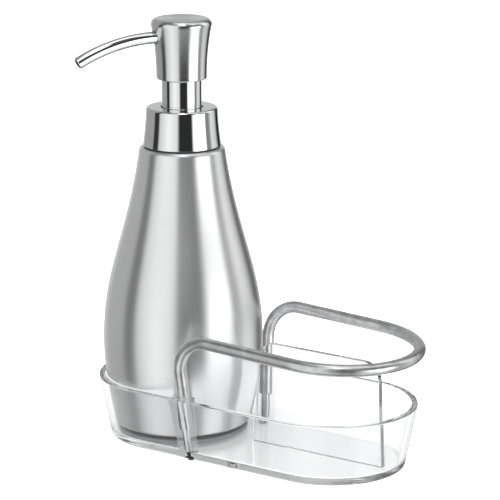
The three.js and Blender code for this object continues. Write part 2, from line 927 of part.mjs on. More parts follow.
const pumpGroup = group(
  [
    makeNeck(),
    makeHousing(),
    makeGuide(),
    makeSpring(),
    makeDipTube(),
    makeBall(),
    makeCap(),
    makeCollar(),
    makeStem(),
    makeSleeve(),
    ...makeSeals(),
    headGroup,
  ],
  bottle.height,
);

const bottleGroup = group([makeShell(), makePad(), makeDisc(), pumpGroup], bottleFoot);
const caddyGroup = group([makeTray(), makePanel(), makeRail(), ...makeScrews(), ...makeFeet()]);

// The set stands on z = 0, with the middle of its bounding box over the origin.
const dispenser = group([caddyGroup, bottleGroup]);
const box = new THREE.Box3().setFromObject(dispenser, true);
dispenser.position.set(-(box.min.x + box.max.x) / 2, -(box.min.y + box.max.y) / 2, -box.min.z);

const part = group([dispenser]);
part.name = 'soap_dispenser';

export default part;
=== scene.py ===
import math

import bmesh
import bpy
from mathutils import Matrix, Vector


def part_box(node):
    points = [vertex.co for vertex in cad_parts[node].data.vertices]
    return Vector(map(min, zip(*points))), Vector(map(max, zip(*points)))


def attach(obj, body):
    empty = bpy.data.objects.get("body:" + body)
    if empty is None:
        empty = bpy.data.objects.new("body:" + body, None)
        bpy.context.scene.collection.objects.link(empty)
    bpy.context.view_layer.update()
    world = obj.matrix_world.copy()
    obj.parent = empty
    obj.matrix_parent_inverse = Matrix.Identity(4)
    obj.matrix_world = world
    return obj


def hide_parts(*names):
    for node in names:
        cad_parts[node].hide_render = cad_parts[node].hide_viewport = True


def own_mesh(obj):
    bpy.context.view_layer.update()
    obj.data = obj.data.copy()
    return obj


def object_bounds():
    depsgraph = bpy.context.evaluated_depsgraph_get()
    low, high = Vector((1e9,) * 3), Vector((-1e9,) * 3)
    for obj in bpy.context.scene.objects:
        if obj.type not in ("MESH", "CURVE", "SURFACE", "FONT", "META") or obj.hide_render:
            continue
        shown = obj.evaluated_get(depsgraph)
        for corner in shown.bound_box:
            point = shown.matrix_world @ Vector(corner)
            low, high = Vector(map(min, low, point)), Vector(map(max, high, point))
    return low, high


# Looks of a pump soap dispenser with a sponge caddy: a steel pump bottle in one end of a clear tray, and an
# upright clear panel and a bent wire rail in the other. Metres, +Z up, the front towards -Y.

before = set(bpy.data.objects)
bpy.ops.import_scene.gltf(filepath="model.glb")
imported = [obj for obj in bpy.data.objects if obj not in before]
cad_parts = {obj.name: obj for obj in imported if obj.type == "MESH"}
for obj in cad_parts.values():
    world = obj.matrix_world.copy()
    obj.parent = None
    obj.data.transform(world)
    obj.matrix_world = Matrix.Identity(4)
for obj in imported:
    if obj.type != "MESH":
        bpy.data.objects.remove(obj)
cad_low, cad_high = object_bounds()

MM = 0.001


# Places read from the frame


def middle(node):
    low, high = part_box(node)
    return (low + high) / 2


def half_width(node):
    low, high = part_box(node)
    return (high.y - low.y) / 2


BOTTLE_LOW, BOTTLE_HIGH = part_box("bottle_shell")
TRAY_LOW, TRAY_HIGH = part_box("tray")
PANEL_LOW, PANEL_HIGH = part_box("divider_panel")
AXIS = Vector((middle("bottle_shell").x, middle("bottle_shell").y, 0))
TRAY_RIM = half_width("tray")
TRAY_LENGTH = TRAY_HIGH.x - TRAY_LOW.x - 2 * TRAY_RIM
TRAY_HEIGHT = TRAY_HIGH.z - TRAY_LOW.z


# Sizes that the frame's boxes don't give

TRAY_WALL = 3 * MM
TRAY_FLOOR = 3.3 * MM
TRAY_DRAFT = math.radians(10.8)
TRAY_EDGE_ROUNDING = 1.6 * MM
TRAY_FLOOR_ROUNDING = 1.5 * MM
TRAY_RIM_ROUNDING = 0.6 * MM
FLOOR_MIDDLE = 0.5  # share of the floor's radius that is one flat face
FOOT_TAPER = 0.4 * MM
FOOT_ROUNDING = 0.5 * MM

PANEL_CORNER = 9 * MM
PANEL_NEAR_LEAN = math.radians(3.5)
PANEL_FAR_LEAN = math.radians(1.8)
PANEL_EDGE_BEVEL = 0.25 * MM

WIRE_RADIUS = 2.85 * MM
SPIGOT_RADIUS = 1.9 * MM
LEG_X = 27 * MM  # of both legs' feet, from the bottle's axis
LEG_TOP_X = 23.5 * MM  # of both legs' lines where they meet the loop, because they lean to the bottle
RAIL_HEIGHT = 59.8 * MM  # of the centre line over the legs, from the tray's underside
RAIL_END_HEIGHT = 55.8 * MM
RAIL_INSET = 2.3 * MM  # of the centre line inside the tray's outer rim
RAIL_END_REACH = 3 * MM
RAIL_BEND = 16 * MM
LEG_FOOT_INSET = 0.8 * MM
LEG_SHOULDER = 11.8 * MM  # up the leg from the tray floor
SHOULDER_CHAMFER = 0.3 * MM
FIT_GAP = 0.3 * MM

BOSS_TOP_RADIUS = 6.3 * MM
BOSS_FOOT_RADIUS = 5 * MM
BOSS_OFFSET = 1.5 * MM
BOSS_RIM_DROP = 0.5 * MM

SCREW_RADIUS = 1 * MM
SCREW_REACH = 7 * MM
SCREW_SEAT = 1.6 * MM
SCREW_HEAD_RADIUS = 2.3 * MM
SCREW_HEAD_HEIGHT = 2.4 * MM
SCREW_CROWN_RADIUS = 1.4 * MM
SCREW_CROWN_HEIGHT = 1.1 * MM
SCREW_ROUNDING = 0.3 * MM
SCREW_SLOT_DEPTH = 0.8 * MM
SCREW_SLOT_WIDTH = 0.5 * MM
SCREW_SLOT_LENGTH = 2.2 * MM

BOTTLE_WALL = 1 * MM
BOTTLE_BASE_RADIUS = 32.8 * MM
BOTTLE_BELLY_HEIGHT = 40.2 * MM
BOTTLE_SHOULDER_RADIUS = 20.2 * MM
BOTTLE_NECK_HOLE = 13.5 * MM
BOTTLE_HEEL_ROUNDING = 1.5 * MM
BOTTLE_SHOULDER_ROUNDING = 2 * MM
# Handles of the side's two curves: how far each reaches up or down, and the lean of the end ones
BASE_PULL, BASE_LEAN = 15.9 * MM, 0.172
BELLY_PULL_DOWN, BELLY_PULL_UP = 18.3 * MM, 33.7 * MM
SHOULDER_PULL, SHOULDER_LEAN = 41.9 * MM, 0.13
DISC_ROUNDING = 0.7 * MM
PAD_ROUNDING = 0.3 * MM

COLLAR_TOP_RADIUS = 16.9 * MM
COLLAR_WAIST_RADIUS = 17.25 * MM
COLLAR_INSIDE = 15.5 * MM
COLLAR_TOP = 1.3 * MM  # thickness of the top face
COLLAR_TOP_ROUNDING = 1.2 * MM
COLLAR_FOOT_ROUNDING = 0.15 * MM
COLLAR_FOOT_STRAIGHT = 0.6 * MM  # left out of the side's curve above the rounded foot
SLEEVE_HOLE = 10 * MM
SLEEVE_WALL = 0.8 * MM
EDGE_ROUNDING = 0.2 * MM  # of thin edges in the pump

HEAD_FOOT_RADIUS = 11.9 * MM
HEAD_EDGE_RADIUS = 14.4 * MM
HEAD_WALL = 1 * MM
HEAD_WAIST = 14 * MM
HEAD_TOP_ROUNDING = 2.8 * MM
HEAD_FOOT_ROUNDING = 0.8 * MM

SPOUT_RADIUS = 2.9 * MM
SPOUT_BORE = 2.1 * MM
SPOUT_HEIGHT = 20.2 * MM  # of its centre line above the head's foot
SPOUT_ROOT = 3 * MM
SPOUT_START = 13.15 * MM  # from the pump's axis, where the bend begins
SPOUT_BEND = 80 * MM
SPOUT_BEND_ANGLE = math.radians(28.6)
SPOUT_HEADING = math.radians(237.6)
SPOUT_LIP = 0.25 * MM

NECK_WALL = 1.9 * MM
NECK_FLANGE = 1.5 * MM
NECK_FLANGE_WIDTH = 2.8 * MM

SPRING_RADIUS = 4.8 * MM  # of the coil's centre line
SPRING_WIRE_RADIUS = 0.45 * MM
SPRING_TURNS = 7

CONTACT_GAP = 0.03 * MM  # left between a clear piece and what rests on it
SEAT_OVERLAP = 0.02 * MM  # of a clear piece and what sits tight in it, so that no air shows between them


# How finely the shapes are divided

TURN_STEPS = 160  # round the axis
LEG_STEPS = 48  # round a leg
ROUND_STEPS = 6  # of a small rounding
TRAY_ARC_STEPS = 64
PANEL_CORNER_STEPS, PANEL_EDGE_STEPS = 24, 2
RAIL_BEND_STEPS, RAIL_END_STEPS, RAIL_WIRE_STEPS = 24, 32, 32
BOTTLE_LOWER_STEPS, BOTTLE_UPPER_STEPS = 24, 48
COLLAR_STEPS, HEAD_STEPS = 32, 32
SPOUT_BEND_STEPS, SPOUT_TUBE_STEPS = 80, 64
SPRING_TURN_STEPS, SPRING_WIRE_STEPS = 24, 12
SAME_PLACE = 1e-9  # points no further apart than this count as one
SHARP_ANGLE = math.radians(35)
FACE_WEIGHT = 100  # how far the largest face leads a corner's normal


# Outlines and meshes


def bezier(points, steps):
    """Points along a Bezier curve, from its first point to its last."""

    def at(share):
        level = [Vector(point) for point in points]
        while len(level) > 1:
            level = [a.lerp(b, share) for a, b in zip(level, level[1:])]
        return level[0]

    return [at(i / steps) for i in range(steps + 1)]


def arc_between(centre, start_arm, end_arm, steps):
    """Points of the arc round a centre from the end of one arm to the end of another."""
    swing = start_arm.angle(end_arm)
    return [
        centre
        + start_arm * math.sin((1 - i / steps) * swing) / math.sin(swing)
        + end_arm * math.sin(i / steps * swing) / math.sin(swing)
        for i in range(steps + 1)
    ]


def corner_arc(corner, before, after, radius, steps):
    """Points of the arc that rounds a corner between its two neighbours."""
    to_before = (before - corner).normalized()
    to_after = (after - corner).normalized()
    half = to_before.angle(to_after) / 2
    reach = radius / math.tan(half)
    centre = corner + (to_before + to_after).normalized() * radius / math.sin(half)
    start_arm = corner + to_before * reach - centre
    end_arm = corner + to_after * reach - centre
    return arc_between(centre, start_arm, end_arm, steps)


def rounded(outline, steps=ROUND_STEPS):
    """An outline of (x, y) corners as points. A corner's third number, if it has one, is its rounding."""
    corners = [Vector(corner[:2]) for corner in outline]
    points = []
    for i, corner in enumerate(outline):
        if len(corner) == 2:
            points.append(corners[i])
        else:
            points += corner_arc(corners[i], corners[i - 1], corners[i + 1], corner[2], steps)
    return points


def new_piece(name, mesh):
    bmesh.ops.recalc_face_normals(mesh, faces=mesh.faces)
    data = bpy.data.meshes.new(name)
    mesh.to_mesh(data)
    mesh.free()
    piece = bpy.data.objects.new(name, data)
    bpy.context.scene.collection.objects.link(piece)
    return piece


def skin(name, rings, loop=False):
    """A closed mesh over rings of points. A ring of one point is a pole, and open ends are filled flat."""
    mesh = bmesh.new()
    rows = [[mesh.verts.new(point) for point in ring] for ring in rings]
    followers = rows[1:] + rows[:1] if loop else rows[1:]
    for low, high in zip(rows, followers):
        count = max(len(low), len(high))
        if count == 1:
            continue
        for i in range(count):
            j = (i + 1) % count
            corners = [low[i % len(low)], low[j % len(low)], high[j % len(high)], high[i % len(high)]]
            mesh.faces.new(dict.fromkeys(corners))
    if not loop:
        for row in (rows[0], rows[-1]):
            if len(row) > 2:
                mesh.faces.new(row)
    return new_piece(name, mesh)


def circle(radius, steps):
    angles = [2 * math.pi * i / steps for i in range(steps)]
    return [Vector((radius * math.cos(a), radius * math.sin(a))) for a in angles]


def turned(name, outline, axis=AXIS, steps=TURN_STEPS):
    """A body of revolution about an upright axis. An outline that starts off the axis closes on itself."""
    points = rounded(outline)
    rings = []
    for radius, z in points:
        around = circle(radius, steps) if radius > 0 else [Vector((0, 0))]
        rings.append([axis + Vector((x, y, z)) for x, y in around])
    return skin(name, rings, loop=points[0].x > 0)


def swept_rings(route, steps):
    """Rings along a route of (point, radius) stations, which are square to it and don't twist."""
    points = [point for point, _ in route]
    side = None
    rings = []
    for i, (point, radius) in enumerate(route):
        ahead = next((p for p in points[i + 1:] if (p - point).length > SAME_PLACE), None)
        behind = next((p for p in reversed(points[:i]) if (p - point).length > SAME_PLACE), None)
        forward = Vector((0, 0, 0))
        if ahead:
            forward += (ahead - point).normalized()
        if behind:
            forward += (point - behind).normalized()
        forward.normalize()
        side = side or forward.orthogonal()
        side = (side - forward * side.dot(forward)).normalized()
        other = forward.cross(side)
        rings.append([point + side * x + other * y for x, y in circle(radius, steps)])
    return rings


def slot_rings(profile, steps):
    """Rings of the tray's outline, a slot with round ends, at each (radius, z) of a profile."""
    ends = [(AXIS.x + TRAY_LENGTH, -math.pi / 2), (AXIS.x, math.pi / 2)]
    rings = []
    for radius, z in profile:
        ring = []
        for centre_x, start in ends:
            for i in range(steps + 1):
                angle = start + math.pi * i / steps
                x = centre_x + radius * math.cos(angle)
                ring.append(Vector((x, AXIS.y + radius * math.sin(angle), z)))
        rings.append(ring)
    return rings


def combine(piece, tool, operation):
    """Joins a second body to a piece, cuts it out or keeps what both share, and removes the second body."""
    modifier = piece.modifiers.new("combine", "BOOLEAN")
    modifier.operation = operation
    modifier.solver = "EXACT"
    modifier.object = tool
    bake_modifiers(piece)
    bpy.data.objects.remove(tool)


def bake_modifiers(piece):
    graph = bpy.context.evaluated_depsgraph_get()
    data = bpy.data.meshes.new_from_object(piece.evaluated_get(graph))
    piece.modifiers.clear()
    piece.data = data


def smooth(piece):
    """Smooth shading, sharp at steep edges, with each corner's normal led by its largest face."""
    piece.data.shade_smooth()
    piece.data.set_sharp_from_angle(angle=SHARP_ANGLE)
    modifier = piece.modifiers.new("normals", "WEIGHTED_NORMAL")
    modifier.keep_sharp = True
    modifier.weight = FACE_WEIGHT
    bake_modifiers(piece)


def finish_piece(piece, body, node, material):
    smooth(piece)
    piece.data.materials.clear()
    piece.data.materials.append(material)
    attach(piece, body)
    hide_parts(node)


# Materials

NOISE_LOW, NOISE_HIGH = 0.3, 0.7  # the middle of a noise, over which a material's values run
NOISE_ROUGHNESS = 0.6
STEEL_TINT = (0.99, 0.995, 1.0)
HAZE = 160  # waves to the metre, on polished steel
CLEAR_HAZE = 90  # waves to the metre, in clear plastic
CLEAR_TONE = (0.985, 1.0)
INSIDE_TINT = 0.5  # share of its tint that colours clear plastic inside, where plain white absorbs nothing
QUARTER_TURN = 0.25  # of the brushing, which then stretches reflections across it


class Nodes:
    """A material's node tree, with its shader and short ways to add to it."""

    def __init__(self, name):
        self.material = bpy.data.materials.new(name)
        self.material.use_nodes = True
        self.tree = self.material.node_tree
        self.shader = self.tree.nodes["Principled BSDF"]

    def add(self, kind, **settings):
        node = self.tree.nodes.new(kind)
        for key, value in settings.items():
            setattr(node, key, value)
        return node

    def link(self, source, target):
        self.tree.links.new(source, target)

    def set(self, **values):
        for key, value in values.items():
            self.shader.inputs[key.replace("_", " ")].default_value = value

    def noise(self, stretch, detail=4.0):
        """Noise over the part's own coordinates, with so many waves to the metre along X, Y and Z."""
        coordinates = self.add("ShaderNodeTexCoord")
        mapping = self.add("ShaderNodeMapping")
        mapping.inputs["Scale"].default_value = stretch
        texture = self.add("ShaderNodeTexNoise")
        texture.inputs["Scale"].default_value = 1.0
        texture.inputs["Detail"].default_value = detail
        texture.inputs["Roughness"].default_value = NOISE_ROUGHNESS
        self.link(coordinates.outputs["Object"], mapping.inputs["Vector"])
        self.link(mapping.outputs["Vector"], texture.inputs["Vector"])
        return texture.outputs["Fac"]

    def between(self, factor, low, high):
        """A number that runs from low to high as the factor runs over the middle of its range."""
        span = self.add("ShaderNodeMapRange")
        span.inputs["From Min"].default_value = NOISE_LOW
        span.inputs["From Max"].default_value = NOISE_HIGH
        span.inputs["To Min"].default_value = low
        span.inputs["To Max"].default_value = high
        self.link(factor, span.inputs["Value"])
        return span.outputs["Result"]

    def colour_between(self, factor, low, high):
        ramp = self.add("ShaderNodeValToRGB")
        ramp.color_ramp.elements[0].position = NOISE_LOW
        ramp.color_ramp.elements[0].color = (*low, 1)
        ramp.color_ramp.elements[1].position = NOISE_HIGH
        ramp.color_ramp.elements[1].color = (*high, 1)
        self.link(factor, ramp.inputs["Fac"])
        self.link(ramp.outputs["Color"], self.shader.inputs["Base Color"])

    def rough_between(self, factor, low, high):
        self.link(self.between(factor, low, high), self.shader.inputs["Roughness"])

    def bump(self, factor, height):
        bump = self.add("ShaderNodeBump")
        bump.inputs["Strength"].default_value = 1.0
        bump.inputs["Distance"].default_value = height
        self.link(factor, bump.inputs["Height"])
        self.link(bump.outputs["Normal"], self.shader.inputs["Normal"])

    def brushed_round(self, amount):
        """Brushing that runs round the piece's upright axis, so that reflections stretch across it."""
        tangent = self.add("ShaderNodeTangent", direction_type="RADIAL", axis="Z")
        self.link(tangent.outputs["Tangent"], self.shader.inputs["Tangent"])
        self.set(Anisotropic=amount, Anisotropic_Rotation=QUARTER_TURN)


def grey(low, high, tint):
    return tuple(low * t for t in tint), tuple(high * t for t in tint)


def brushed_steel(name, tone, rough, anisotropy, stretch, height, metallic=1.0):
    nodes = Nodes(name)
    nodes.set(Metallic=metallic)
    streaks = nodes.noise(stretch)
    nodes.colour_between(streaks, *grey(*tone, STEEL_TINT))
    nodes.rough_between(streaks, *rough)
    nodes.bump(streaks, height)
    if anisotropy:
        nodes.brushed_round(anisotropy)
    return nodes.material


def polished_chrome(name, tone, rough):
    nodes = Nodes(name)
    nodes.set(Metallic=1.0)
    haze = nodes.noise((HAZE, HAZE, HAZE), detail=5.0)
    nodes.colour_between(haze, *grey(*tone, STEEL_TINT))
    nodes.rough_between(haze, *rough)
    return nodes.material


def clear_plastic(name, tint, rough, ior, absorption, clearness=1.0):
    """Clear plastic that greys along its edges, where light runs a long way inside it."""
    nodes = Nodes(name)
    nodes.set(Transmission_Weight=clearness, IOR=ior)
    haze = nodes.noise((CLEAR_HAZE, CLEAR_HAZE, CLEAR_HAZE))
    nodes.colour_between(haze, *grey(*CLEAR_TONE, tint))
    nodes.rough_between(haze, *rough)
    inside = nodes.add("ShaderNodeVolumeAbsorption")
    inside.inputs["Color"].default_value = (*(INSIDE_TINT * t for t in tint), 1)
    inside.inputs["Density"].default_value = absorption / (1 - INSIDE_TINT)
    nodes.link(inside.outputs["Volume"], nodes.tree.nodes["Material Output"].inputs["Volume"])
    return nodes.material


def moulded(name, low, high, rough, grain, height):
    nodes = Nodes(name)
    texture = nodes.noise((grain, grain, grain))
    nodes.colour_between(texture, low, high)
    nodes.rough_between(texture, *rough)
    nodes.bump(texture, height)
    return nodes.material


# Waves to the metre along X, Y and Z: streaks that are long round the axis and close together up it, a fine
# grain, and the uneven patches of drawn wire
ROUND_STREAKS = (70, 70, 5200)
FINE_GRAIN = (900, 900, 900)
WIRE_PATCHES = (170, 170, 170)

bottle_steel = brushed_steel(
    "bottle_steel",
    tone=(0.74, 0.8),
    rough=(0.3, 0.34),
    anisotropy=0.85,
    stretch=ROUND_STREAKS,
    height=0.001 * MM,
    metallic=0.9,
)
head_steel = brushed_steel(
    "head_steel",
    tone=(0.72, 0.78),
    rough=(0.21, 0.25),
    anisotropy=0.75,
    stretch=ROUND_STREAKS,
    height=0.0001 * MM,
)
wire_steel = brushed_steel(
    "wire_steel",
    tone=(0.5, 0.76),
    rough=(0.28, 0.32),
    anisotropy=0.0,
    stretch=WIRE_PATCHES,
    height=0.0001 * MM,
    metallic=0.95,
)
spring_steel = brushed_steel(
    "spring_steel",
    tone=(0.5, 0.58),
    rough=(0.25, 0.32),
    anisotropy=0.0,
    stretch=FINE_GRAIN,
    height=0.0004 * MM,
)
chrome = polished_chrome("chrome", tone=(0.78, 0.82), rough=(0.05, 0.07))
dark_steel = moulded(
    "dark_steel",
    low=(0.012, 0.012, 0.013),
    high=(0.02, 0.02, 0.021),
    rough=(0.35, 0.5),
    grain=700,
    height=0.01 * MM,
)
acrylic = clear_plastic("acrylic", tint=(0.99, 1.0, 1.0), rough=(0.0, 0.015), ior=1.49, absorption=2.5)
boss_acrylic = clear_plastic(
    "boss_acrylic",
    tint=(0.97, 0.98, 0.98),
    rough=(0.04, 0.1),
    ior=1.1,
    absorption=8,
    clearness=0.9,
)
frosted_acrylic = moulded(
    "frosted_acrylic",
    low=(0.46, 0.47, 0.47),
    high=(0.52, 0.53, 0.53),
    rough=(0.5, 0.6),
    grain=1400,
    height=0.02 * MM,
)
clear_rubber = clear_plastic(
    "clear_rubber",
    tint=(0.98, 0.99, 0.99),
    rough=(0.02, 0.05),
    ior=1.03,
    absorption=3,
)
black_rubber = moulded(
    "black_rubber",
    low=(0.012, 0.012, 0.012),
    high=(0.022, 0.022, 0.022),
    rough=(0.5, 0.65),
    grain=1400,
    height=0.02 * MM,
)
grey_rubber = moulded(
    "grey_rubber",
    low=(0.13, 0.13, 0.135),
    high=(0.17, 0.17, 0.175),
    rough=(0.55, 0.7),
    grain=1400,
    height=0.02 * MM,
)
white_plastic = moulded(
    "white_plastic",
    low=(0.8, 0.8, 0.78),
    high=(0.86, 0.86, 0.84),
    rough=(0.38, 0.5),
    grain=800,
    height=0.01 * MM,
)
natural_plastic = moulded(
    "natural_plastic",
    low=(0.7, 0.73, 0.7),
    high=(0.78, 0.8, 0.77),
    rough=(0.32, 0.42),
    grain=800,
    height=0.01 * MM,
)

CAD_MATERIALS = {
    "pump_housing": natural_plastic,
    "housing_gasket": black_rubber,
    "stem_guide": white_plastic,
    "dip_tube": natural_plastic,
    "inlet_ball": spring_steel,
    "screw_cap": white_plastic,
    "piston_stem": white_plastic,
    "piston_seal": black_rubber,
    "head_core": white_plastic,
}
for node, material in CAD_MATERIALS.items():
    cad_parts[node].data.materials.clear()
    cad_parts[node].data.materials.append(material)


# The tray


def tray_outside(height):
    """Outer radius of the tray's round ends, at a height above its underside."""
    return TRAY_RIM - (TRAY_HEIGHT - height) * math.tan(TRAY_DRAFT)


def tray_inside(height):
    return tray_outside(height) - TRAY_WALL


RAIL_Y = TRAY_RIM - RAIL_INSET
LEG_FOOT_Y = tray_inside(TRAY_FLOOR) - LEG_FOOT_INSET
LEG_LEAN = math.atan2(RAIL_Y - LEG_FOOT_Y, RAIL_HEIGHT - TRAY_FLOOR)
LEG_SWAY = math.atan2(LEG_TOP_X - LEG_X, math.hypot(RAIL_Y - LEG_FOOT_Y, RAIL_HEIGHT - TRAY_FLOOR))
FLOOR_TOP = TRAY_LOW.z + TRAY_FLOOR


def leg_frame(side):
    """Frame of a leg: its origin is on the tray floor and its Z runs up the leg. Side -1 is the front one."""
    place = Matrix.Translation(AXIS + Vector((LEG_X, side * LEG_FOOT_Y, FLOOR_TOP)))
    return place @ Matrix.Rotation(-side * LEG_LEAN, 4, "X") @ Matrix.Rotation(LEG_SWAY, 4, "Y")


def leg_body(name, outline, side, offset=0.0):
    """A body of revolution about a leg, or about a line beside it, from (radius, height) corners."""
    piece = turned(name, outline, Vector((0, offset, 0)), LEG_STEPS)
    piece.data.transform(leg_frame(side))
    return piece


def leg_rod(name, radius, foot, top, side, offset=0.0, top_radius=None):
    outline = [(0, foot), (radius, foot), (top_radius or radius, top), (0, top)]
    return leg_body(name, outline, side, offset)


def let_light_through(piece):
    """A clear piece neither shades the floor nor takes light from it."""
    piece.visible_shadow = False
    piece.visible_diffuse = False


def make_tray():
    outside, inside = tray_outside(0), tray_inside(TRAY_FLOOR)
    profile = rounded([
        (outside * FLOOR_MIDDLE, 0),
        (outside, 0, TRAY_EDGE_ROUNDING),
        (tray_outside(TRAY_HEIGHT), TRAY_HEIGHT, TRAY_RIM_ROUNDING),
        (tray_inside(TRAY_HEIGHT), TRAY_HEIGHT, TRAY_RIM_ROUNDING),
        (inside, TRAY_FLOOR, TRAY_FLOOR_ROUNDING),
        (inside * FLOOR_MIDDLE, TRAY_FLOOR),
    ])
    raised = [(radius, TRAY_LOW.z + z) for radius, z in profile]
    tray = skin("clear_tray", slot_rings(raised, TRAY_ARC_STEPS))
    for side in (-1, 1):
        cut_leg_holes(tray, side)
    let_light_through(tray)
    finish_piece(tray, "caddy", "tray", acrylic)


def cut_leg_holes(piece, side):
    """Holes for a leg and its screw. The back screw has play for its frosted wall, and the rest is tight."""
    wire_top = 2 * TRAY_HEIGHT
    wire_hole = (WIRE_RADIUS - SEAT_OVERLAP, LEG_SHOULDER + SEAT_OVERLAP, wire_top)
    spigot_hole = (SPIGOT_RADIUS - SEAT_OVERLAP, FIT_GAP + SEAT_OVERLAP, wire_top)
    screw_play = FIT_GAP if side > 0 else -SEAT_OVERLAP
    screw_hole = (SCREW_RADIUS + screw_play, -2 * TRAY_FLOOR, 2 * FIT_GAP)
    head_seat = (SCREW_HEAD_RADIUS + screw_play, -2 * TRAY_FLOOR, -SCREW_SEAT)
    for radius, foot, top in (wire_hole, spigot_hole, screw_hole, head_seat):
        combine(piece, leg_rod("hole", radius, foot, top, side), "DIFFERENCE")


def make_bosses():
    """A tapered boss round each leg, against the inside of the tray's wall."""
    foot, top = TRAY_FLOOR + CONTACT_GAP, TRAY_HEIGHT - BOSS_RIM_DROP
    wall_line = [(tray_inside(z) - CONTACT_GAP, TRAY_LOW.z + z) for z in (foot, top)]
    for name, side in {"front": -1, "back": 1}.items():
        offset = side * BOSS_OFFSET
        cone = (BOSS_FOOT_RADIUS, -TRAY_FLOOR, TRAY_HEIGHT, side, offset, BOSS_TOP_RADIUS)
        boss = leg_rod("clear_boss_" + name, *cone)
        combine(boss, skin("space", slot_rings(wall_line, TRAY_ARC_STEPS)), "INTERSECT")
        cut_leg_holes(boss, side)
        let_light_through(boss)
        finish_piece(boss, "caddy", "tray", boss_acrylic)


def make_frosted_hole():
    """The frosted wall of the back screw's hole. It hides the dark screw behind the clear tray."""
    inner, outer = FIT_GAP / 3, FIT_GAP - CONTACT_GAP
    ceiling = -SCREW_SEAT - CONTACT_GAP
    mouth = -TRAY_FLOOR
    outline = [
        (SCREW_RADIUS + inner, 0),
        (SCREW_RADIUS + inner, ceiling - FIT_GAP / 2),
        (SCREW_HEAD_RADIUS + inner, ceiling - FIT_GAP / 2),
        (SCREW_HEAD_RADIUS + inner, mouth),
        (SCREW_HEAD_RADIUS + outer, mouth),
        (SCREW_HEAD_RADIUS + outer, ceiling),
        (SCREW_RADIUS + outer, ceiling),
        (SCREW_RADIUS + outer, 0),
    ]
    wall = leg_body("frosted_hole", outline, 1)
    finish_piece(wall, "caddy", "tray", frosted_acrylic)


def make_panel():
    height = PANEL_HIGH.z - PANEL_LOW.z
    foot = PANEL_LOW.z + CONTACT_GAP
    near_top = PANEL_LOW.x + height * math.tan(PANEL_NEAR_LEAN)
    far_top = PANEL_HIGH.x - height * math.tan(PANEL_FAR_LEAN)
    outline = rounded(
        [
            (PANEL_LOW.x, foot),
            (PANEL_HIGH.x, foot),
            (far_top, PANEL_HIGH.z, PANEL_CORNER),
            (near_top, PANEL_HIGH.z, PANEL_CORNER),
            (PANEL_LOW.x, foot),
        ],
        steps=PANEL_CORNER_STEPS,
    )[:-1]
    rings = [[Vector((x, y, z)) for x, z in outline] for y in (PANEL_LOW.y, PANEL_HIGH.y)]
    panel = skin("clear_panel", rings)
    bevel = panel.modifiers.new("edges", "BEVEL")
    bevel.width = PANEL_EDGE_BEVEL
    bevel.segments = PANEL_EDGE_STEPS
    bevel.limit_method = "ANGLE"
    bake_modifiers(panel)
    let_light_through(panel)
    finish_piece(panel, "caddy", "divider_panel", acrylic)


def make_feet():
    for node in ("foot_front_left", "foot_front_right", "foot_back_left", "foot_back_right"):
        low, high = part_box(node)
        top_radius = (high.x - low.x) / 2
        foot_radius = top_radius - FOOT_TAPER
        outline = [
            (0, low.z),
            (foot_radius, low.z, FOOT_ROUNDING),
            (top_radius, high.z + SEAT_OVERLAP),
            (0, high.z + SEAT_OVERLAP),
        ]
        centre = middle(node)
        piece = turned("bumper_" + node, outline, Vector((centre.x, centre.y, 0)), LEG_STEPS)
        let_light_through(piece)
        finish_piece(piece, "caddy", node, clear_rubber)


# The rail


def rail_line():
    """Centre line of the wire, from the front leg's shoulder round to the back leg's."""
    loop_x = TRAY_LENGTH + RAIL_END_REACH
    fall = (RAIL_HEIGHT - RAIL_END_HEIGHT) / (loop_x + RAIL_Y - LEG_TOP_X)
    top = TRAY_LOW.z + RAIL_HEIGHT
    loop = AXIS + Vector((loop_x, 0, top - fall * (loop_x - LEG_TOP_X)))
    halves = {}
    for side in (-1, 1):
        shoulder = leg_frame(side) @ Vector((0, 0, LEG_SHOULDER))
        corner = AXIS + Vector((LEG_TOP_X, side * RAIL_Y, top))
        run_end = loop + Vector((0, side * RAIL_Y, 0))
        halves[side] = [shoulder, *corner_arc(corner, shoulder, run_end, RAIL_BEND, RAIL_BEND_STEPS)]
    to_tip = Vector((RAIL_Y, 0, -fall * RAIL_Y))
    to_front, to_back = Vector((0, -RAIL_Y, 0)), Vector((0, RAIL_Y, 0))
    front_end = arc_between(loop, to_front, to_tip, RAIL_END_STEPS)
    back_end = arc_between(loop, to_tip, to_back, RAIL_END_STEPS)
    return halves[-1] + front_end + back_end[1:] + halves[1][::-1]


def make_rail():
    route = [(point, WIRE_RADIUS) for point in rail_line()]

    def leg_end(side):
        def at(height):
            return leg_frame(side) @ Vector((0, 0, height))

        return [
            (at(FIT_GAP), SPIGOT_RADIUS - SHOULDER_CHAMFER),
            (at(FIT_GAP + SHOULDER_CHAMFER), SPIGOT_RADIUS),
            (at(LEG_SHOULDER), SPIGOT_RADIUS),
            (at(LEG_SHOULDER), WIRE_RADIUS - SHOULDER_CHAMFER),
            (at(LEG_SHOULDER + SHOULDER_CHAMFER), WIRE_RADIUS),
        ]

    whole = leg_end(-1) + route[1:-1] + leg_end(1)[::-1]
    rail = skin("wire_rail", swept_rings(whole, RAIL_WIRE_STEPS))
    for side in (-1, 1):
        hole = leg_rod("hole", SCREW_RADIUS + FIT_GAP, -FIT_GAP, SCREW_REACH + FIT_GAP, side)
        combine(rail, hole, "DIFFERENCE")
    finish_piece(rail, "caddy", "sponge_rail", wire_steel)


